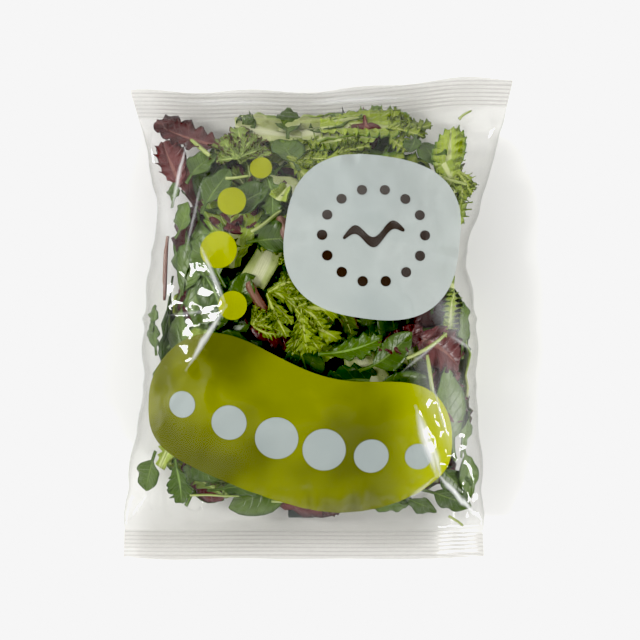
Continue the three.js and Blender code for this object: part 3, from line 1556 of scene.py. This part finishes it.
FILL_SHARES = {
    LeafKind.BABY: 0.42,
    LeafKind.ROCKET: 0.13,
    LeafKind.BURGUNDY: 0.14,
    LeafKind.FRILLY: 0.08,
    LeafKind.PALE: 0.1,
    LeafKind.CURLY: 0.06,
    LeafKind.RIB: 0.03,
    LeafKind.RED_STEM: 0.02,
    LeafKind.GREEN_STEM: 0.02,
}

LEAF_FINISHES = (
    KindFinish(LeafKind.BABY, "green_leaf", LeafFinish(
        "baby_leaves", (0.021, 0.05, 0.006), (0.125, 0.205, 0.028), (0.16, 0.24, 0.05), (0.045, 0.09, 0.012),
        vein_show=0.16, rib_width=0.028,
    )),
    KindFinish(LeafKind.ROCKET, "green_leaf", LeafFinish(
        "serrated_leaves", (0.022, 0.056, 0.005), (0.11, 0.19, 0.018), (0.24, 0.36, 0.09),
        (0.02, 0.06, 0.006), vein_show=0.2, rib_width=0.045,
    )),
    KindFinish(LeafKind.BURGUNDY, "red_leaf", LeafFinish(
        "burgundy_leaves", (0.045, 0.007, 0.009), (0.15, 0.03, 0.03), (0.25, 0.1, 0.08),
        (0.035, 0.006, 0.008), vein_show=0.15, rib_width=0.05,
    )),
    KindFinish(LeafKind.FRILLY, "pale_leaf", LeafFinish(
        "frilly_leaves", (0.06, 0.1, 0.012), (0.24, 0.33, 0.05), (0.42, 0.5, 0.16), (0.1, 0.035, 0.03),
        margin_start=0.74, vein_show=0.4, rib_width=0.06,
    )),
    KindFinish(LeafKind.PALE, "pale_leaf", LeafFinish(
        "pale_lettuce", (0.12, 0.2, 0.01), (0.42, 0.52, 0.06), (0.58, 0.63, 0.28), (0.1, 0.2, 0.01),
        vein_show=0.45, rib_width=0.1, vein_count=5, vein_slant=4,
    )),
    KindFinish(LeafKind.RIB, "pale_leaf", LeafFinish(
        "pale_ribs", (0.26, 0.34, 0.05), (0.56, 0.6, 0.28), (0.66, 0.68, 0.42), (0.2, 0.3, 0.03),
        vein_show=0.6, rib_width=0.16, vein_count=1.2, vein_slant=7,
    )),
    KindFinish(LeafKind.CURLY, "pale_leaf", LeafFinish(
        "curly_leaves", (0.09, 0.14, 0.006), (0.33, 0.42, 0.03), (0.5, 0.55, 0.16), (0.09, 0.15, 0.005),
        vein_show=0.3, rib_width=0.09,
    )),
    KindFinish(LeafKind.RED_STEM, "red_leaf", LeafFinish(
        "red_stems", (0.1, 0.03, 0.025), (0.2, 0.085, 0.055), (0.26, 0.14, 0.1), (0.08, 0.03, 0.03),
        vein_show=0.1, rib_width=0.2,
    )),
    KindFinish(LeafKind.GREEN_STEM, "pale_leaf", LeafFinish(
        "green_stems", (0.17, 0.26, 0.03), (0.4, 0.48, 0.13), (0.5, 0.56, 0.22), (0.2, 0.28, 0.06),
        vein_show=0.1, rib_width=0.2,
    )),
)

SEEN_LEAVES = tuple(Seen(LeafKind[kind], *lie) for kind, *lie in (
    ("BURGUNDY", 187, 131, 142, 40, 19, 1.2, 0.4),
    ("BURGUNDY", 170, 160, 110, 30, 19, 3.0, 0.9),
    ("FRILLY", 232, 140, 112, 28, 16, 1.4, 0.7),
    ("FRILLY", 246, 142, 75, 24, 20, 1.4, 0.8),
    ("GREEN_STEM", 200, 145, 122, 18, 2.6, 0.9, 0.9),
    ("BABY", 245, 121, 90, 20, 12, 3.4, 0.4),
    ("RIB", 268, 124, 8, 36, 20, 3.4, 0.9),
    ("BABY", 288, 120, 84, 26, 14, 0.9, 0.55),
    ("BABY", 290, 150, 100, 26, 18, 2.2, 0.6),
    ("RIB", 322, 123, 2, 48, 20, 3.0, 0.85),
    ("BABY", 335, 117, 178, 30, 13, 1.2, 0.7),
    ("PALE", 366, 118, 4, 50, 24, 1.0, 0.75),
    ("PALE", 342, 132, 172, 36, 18, 2.6, 0.6),
    ("CURLY", 360, 142, 30, 24, 12, 3.4, 0.7),
    ("CURLY", 412, 122, 10, 26, 18, 2.4, 0.7),
    ("CURLY", 315, 152, 10, 30, 14, 2.6, 0.6),
    ("BABY", 412, 140, -100, 14, 10, 1.5, 0.3),
    ("BABY", 432, 155, 100, 24, 15, 2.6, 0.3),
    ("PALE", 452, 158, 98, 40, 20, 1.2, 0.75),
    ("CURLY", 462, 190, -80, 20, 12, 1.6, 0.8),
    ("PALE", 458, 195, -70, 40, 14, 2.2, 0.5),
    ("GREEN_STEM", 452, 180, -25, 16, 2.2, 0.9, 1.0),
    ("GREEN_STEM", 466, 112, 50, 9, 1.6, 0.9, 0.5),
    ("BABY", 200, 165, 60, 24, 14, 2.4, 0.6),
    ("BABY", 172, 195, 85, 14, 8, 1.5, 0.5),
    ("BABY", 180, 220, 70, 20, 13, 2.2, 0.7),
    ("BABY", 243, 198, 20, 30, 18, 2.6, 0.25),
    ("BABY", 215, 190, 70, 30, 16, 2.2, 0.35),
    ("ROCKET", 268, 190, -80, 30, 14, 1.6, 0.7),
    ("PALE", 283, 193, 60, 10, 8, 1.2, 0.9),
    ("GREEN_STEM", 268, 222, 40, 20, 2.2, 1.2, 0.5),
    ("GREEN_STEM", 238, 178, -3, 12, 1.8, 0.9, 1.0),
    ("RED_STEM", 293, 243, -65, 32, 6.5, 1.4, 0.6),
    ("RED_STEM", 308, 258, -68, 30, 4.0, 1.8, 0.1),
    ("CURLY", 296, 260, -60, 14, 9, 1.6, 0.6),
    ("RED_STEM", 164, 268, -88, 34, 3.2, 1.2, 0.4),
    ("BABY", 272, 240, 10, 26, 18, 2.4, 0.35),
    ("BABY", 212, 262, 120, 34, 20, 2.4, 0.75),
    ("BABY", 243, 298, 80, 26, 14, 1.4, 0.45),
    ("RED_STEM", 262, 300, -55, 22, 5.5, 1.6, 0.8),
    ("ROCKET", 212, 295, -55, 30, 12, 2.0, 0.3),
    ("CURLY", 300, 305, -20, 34, 18, 1.2, 0.6),
    ("CURLY", 320, 325, -40, 30, 18, 1.4, 0.8),
    ("CURLY", 268, 318, 30, 16, 10, 1.4, 0.6),
    ("ROCKET", 350, 345, 10, 34, 14, 1.6, 0.55),
    ("BURGUNDY", 400, 338, 12, 26, 14, 2.0, 0.2),
    ("BABY", 385, 352, 28, 34, 16, 1.6, 0.35),
    ("BABY", 152, 318, 75, 14, 10, 1.4, 0.4),
    ("BABY", 152, 338, 95, 18, 11, 1.4, 0.3),
    ("BABY", 158, 385, 85, 24, 12, 2.2, 0.3),
    ("BABY", 168, 435, 100, 16, 12, 1.2, 0.7),
    ("BABY", 148, 472, -120, 26, 15, 1.4, 0.45),
    ("ROCKET", 178, 482, -92, 30, 15, 1.2, 0.4),
    ("BURGUNDY", 186, 455, -20, 22, 14, 3.2, 0.1),
    ("BABY", 200, 470, -30, 26, 14, 2.6, 0.3),
    ("GREEN_STEM", 215, 497, 0, 26, 1.8, 1.2, 0.5),
    ("GREEN_STEM", 165, 455, 60, 14, 2.0, 1.2, 0.9),
    ("BABY", 240, 493, 5, 34, 12, 2.4, 0.25),
    ("GREEN_STEM", 300, 502, -4, 30, 1.8, 1.2, 0.6),
    ("BURGUNDY", 330, 512, -100, 14, 10, 1.6, 0.1),
    ("BABY", 384, 512, 5, 24, 9, 1.2, 0.6),
    ("BABY", 418, 508, -30, 24, 11, 1.4, 0.25),
    ("BABY", 446, 500, -25, 28, 14, 1.2, 0.2),
    ("GREEN_STEM", 456, 524, -40, 9, 1.8, 1.2, 0.9),
    ("BABY", 468, 470, -75, 30, 14, 1.6, 0.75),
    ("BABY", 455, 480, -60, 30, 15, 2.4, 0.3),
    ("BABY", 452, 415, 105, 52, 22, 1.4, 1.0),
    ("GREEN_STEM", 432, 395, 108, 46, 2.6, 0.8, 1.0),
    ("BURGUNDY", 440, 352, -20, 34, 24, 2.0, 0.8),
    ("BURGUNDY", 452, 388, -80, 36, 24, 2.2, 0.9),
    ("BABY", 470, 435, 80, 26, 12, 1.8, 0.85),
    ("GREEN_STEM", 425, 345, 25, 26, 2.0, 0.9, 0.9),
    ("PALE", 455, 315, 75, 26, 14, 2.4, 0.6),
    ("BABY", 466, 330, 90, 30, 12, 1.6, 0.7),
))


@dataclass
class HeapCore:
    """The middle of the leaf heap, a dark mass whose near-black colour is painted shade in the gaps between
    the leaves.
    """

    node: str = "salad_bag"
    reach: Place = (60 * MM, 68 * MM, 14 * MM)
    middle: Place = (-5 * MM, -4 * MM, 29 * MM)
    squareness: float = 0.8
    subdivisions: int = 5
    lump_size: float = 22 * MM
    lump_height: float = 6 * MM
    lump_middle: float = 0.7

    def build(self) -> Piece:
        """Build the core from a sphere pressed flat and crumpled.

        Returns:
            The core piece.
        """
        deselect_all()
        bpy.ops.mesh.primitive_ico_sphere_add(subdivisions=self.subdivisions, radius=1, location=(0, 0, 0))
        piece = bpy.context.object
        points = read_points(piece)
        squared = np.sign(points) * np.abs(points) ** self.squareness
        write_points(piece, squared * np.array(self.reach) + np.array(self.middle))
        add_displace(piece, "lumps", "CLOUDS", self.lump_size, self.lump_height, self.lump_middle)
        apply_modifiers(piece)
        piece.name = piece.data.name = "heap_core_painted_shade"
        dress_piece(piece, CorePaintedShadeFinish().build(), self.node)
        return piece


# Studio


@dataclass(frozen=True)
class SoftBox:
    """A soft box aimed at the bag."""

    name: str
    place: Place
    size: Pair
    radiance: float
    aim_height: float = 0.02

    def build(self) -> Piece:
        """Add the light.

        Returns:
            The light object.
        """
        bpy.ops.object.light_add(type="AREA", location=self.place)
        light = bpy.context.object
        light.name = self.name
        light.data.shape = "RECTANGLE"
        light.data.size, light.data.size_y = self.size
        light.data.energy = self.radiance * math.pi * self.size[0] * self.size[1]
        way = Vector((0, 0, self.aim_height)) - Vector(self.place)
        light.rotation_euler = way.to_track_quat("-Z", "Y").to_euler()
        return light


@dataclass
class Studio:
    """A pale floor in a light tent: bright round the sides, dark overhead, with two soft boxes."""

    floor_size: float = 6.0
    zenith: Colour = (0.015, 0.015, 0.016)
    walls: Colour = (1.0, 1.0, 0.99)
    strength: float = 1.22
    brighter_way: Place = (-0.1, 0.4, 0.0)
    dark_from: float = 0.66
    dark_to: float = 0.88
    white_point: float = 0.921
    black_point: float = 0.027
    combined_curve: int = 3
    boxes: tuple[SoftBox, ...] = (
        SoftBox("left_box", (-0.92, 0.14, 0.74), (0.15, 0.55), 42.0),
        SoftBox("right_box", (0.8, -0.6, 0.66), (0.16, 0.5), 40.0),
    )

    def build(self) -> None:
        """Build floor, lights and room, and set the picture's tone."""
        deselect_all()
        bpy.ops.mesh.primitive_plane_add(size=self.floor_size, location=(0, 0, 0))
        floor = bpy.context.object
        floor.name = "floor"
        floor.data.materials.append(FloorFinish().build())
        for box in self.boxes:
            box.build()
        self._build_room()
        self._set_tone()

    def _set_tone(self) -> None:
        """Let the bright floor run up to an even off-white."""
        view = bpy.context.scene.view_settings
        view.view_transform = "Standard"
        view.use_curve_mapping = True
        tone = view.curve_mapping
        tone.extend = "HORIZONTAL"
        tone.black_level = (self.black_point,) * 3
        tone.curves[self.combined_curve].points[1].location = (1.0, self.white_point)
        tone.update()

    def _build_room(self) -> None:
        """Light the world bright at the sides and dark overhead."""
        bench = NodeBench("room", world=True)
        bpy.context.scene.world = bench.owner
        way = bench.node("ShaderNodeTexCoord").outputs["Generated"]
        toward = bench.node("ShaderNodeVectorMath", operation="DOT_PRODUCT")
        bench.link(way, toward.inputs[0])
        toward.inputs[1].default_value = self.brighter_way
        level = bench.math("MULTIPLY_ADD", toward.outputs["Value"], self.strength, self.strength)
        overhead = bench.span(bench.part(way, "Z"), self.dark_from, self.dark_to)
        background = bench.node("ShaderNodeBackground")
        bench.link(level, background.inputs["Strength"])
        bench.link(bench.mix(overhead, self.walls, self.zenith), background.inputs["Color"])
        bench.finish(background.outputs[0])


# Print design

LIME_INK = PrintFinish("lime_print", (0.25, 0.264, 0.001), (0.12, 0.127, 0.001), cover=0.94, lit=2.0)
BRIGHT_LIME_INK = PrintFinish("bright_lime_print", (0.38, 0.4, 0.001), (0.33, 0.35, 0.001), cover=0.98)
PALE_INK = PrintFinish("pale_print", (0.5, 0.545, 0.535), (0.45, 0.5, 0.495), cover=0.97)
DISC_INK = PrintFinish("pale_disc_print", (0.4, 0.45, 0.445), (0.36, 0.41, 0.41), cover=0.97)
DARK_INK = PrintFinish("dark_print", (0.04, 0.028, 0.023), (0.065, 0.052, 0.045), cover=0.97)
EYE_INK = PrintFinish("eye_mark_print", (0.03, 0.045, 0.042), (0.05, 0.065, 0.06), cover=0.97)

OVERPRINT_DEPTH = 0.14 * MM
ROUND = 2.0
RING_DOTS = 14
RING_MIDDLE = (372, 238)
RING_REACH = (50, 46)
RING_DOT_SIZE = (10, 10)
DISC_SIZES = (26, 34, 42, 42, 34, 26)
DISC_START = (186, 402)
DISC_STEP = 46
ARC_DEPTH = 52
ARC_TURN = 0.34

DOT_RING = tuple(
    RoundPanel(
        (
            RING_MIDDLE[0] + RING_REACH[0] * math.cos(turn),
            RING_MIDDLE[1] + RING_REACH[1] * math.sin(turn),
        ),
        RING_DOT_SIZE, 0, ROUND,
    )
    for turn in np.linspace(0, 2 * math.pi, RING_DOTS, endpoint=False)
)
DISC_ARC = tuple(
    RoundPanel(
        (DISC_START[0] + DISC_STEP * index, DISC_START[1] + ARC_DEPTH * math.sin(ARC_TURN * index)),
        (size, size), 0, ROUND,
    )
    for index, size in enumerate(DISC_SIZES)
)

PRINT_LAYERS = (
    PrintLayer("lime_field", "lime_print", LIME_INK, (
        WaveBand(150, 450, 350, 500, -22, -10, 1.0, 0.12, 34),
    )),
    PrintLayer("lime_dots", "lime_print", BRIGHT_LIME_INK, (
        RoundPanel((262, 170), (22, 22), 0, ROUND),
        RoundPanel((234, 204), (28, 28), 0, ROUND),
        RoundPanel((222, 252), (36, 36), 0, ROUND),
        RoundPanel((236, 306), (28, 28), 0, ROUND),
    )),
    PrintLayer("pale_panel", "pale_print", PALE_INK, (RoundPanel((372, 238), (172, 162), -8),)),
    PrintLayer("pale_discs", "pale_print", DISC_INK, DISC_ARC, depth=OVERPRINT_DEPTH),
    PrintLayer("dark_ring", "dark_print", DARK_INK, (
        WaveBand(342, 402, 232, 242, -8, -8, 1.5, 0.0, -8),
        *DOT_RING,
    ), depth=OVERPRINT_DEPTH),
    PrintLayer("eye_mark", "dark_print", EYE_INK, (RoundPanel((301, 517), (27, 9), 0, 14),), on_back=True),
)


def main() -> None:
    """Build the bag, its leaves, its print and the studio, and report each piece."""
    logging.basicConfig(level=logging.INFO, format="%(message)s")
    PHOTO.build_camera()
    Studio().build()
    film = FilmBag()
    film.build()
    heap = LeafHeap(film)
    for leaf in SEEN_LEAVES:
        heap.add_seen(leaf)
    heap.add_fill()
    pieces = heap.build()
    pieces.append(HeapCore().build())
    pieces.extend(layer.build(film) for layer in PRINT_LAYERS)
    film.dress()
    pieces.append(film.piece)
    for piece in pieces:
        LOG.info("%s: %d faces", piece.name, len(piece.data.polygons))


if __name__ == "__main__":
    main()
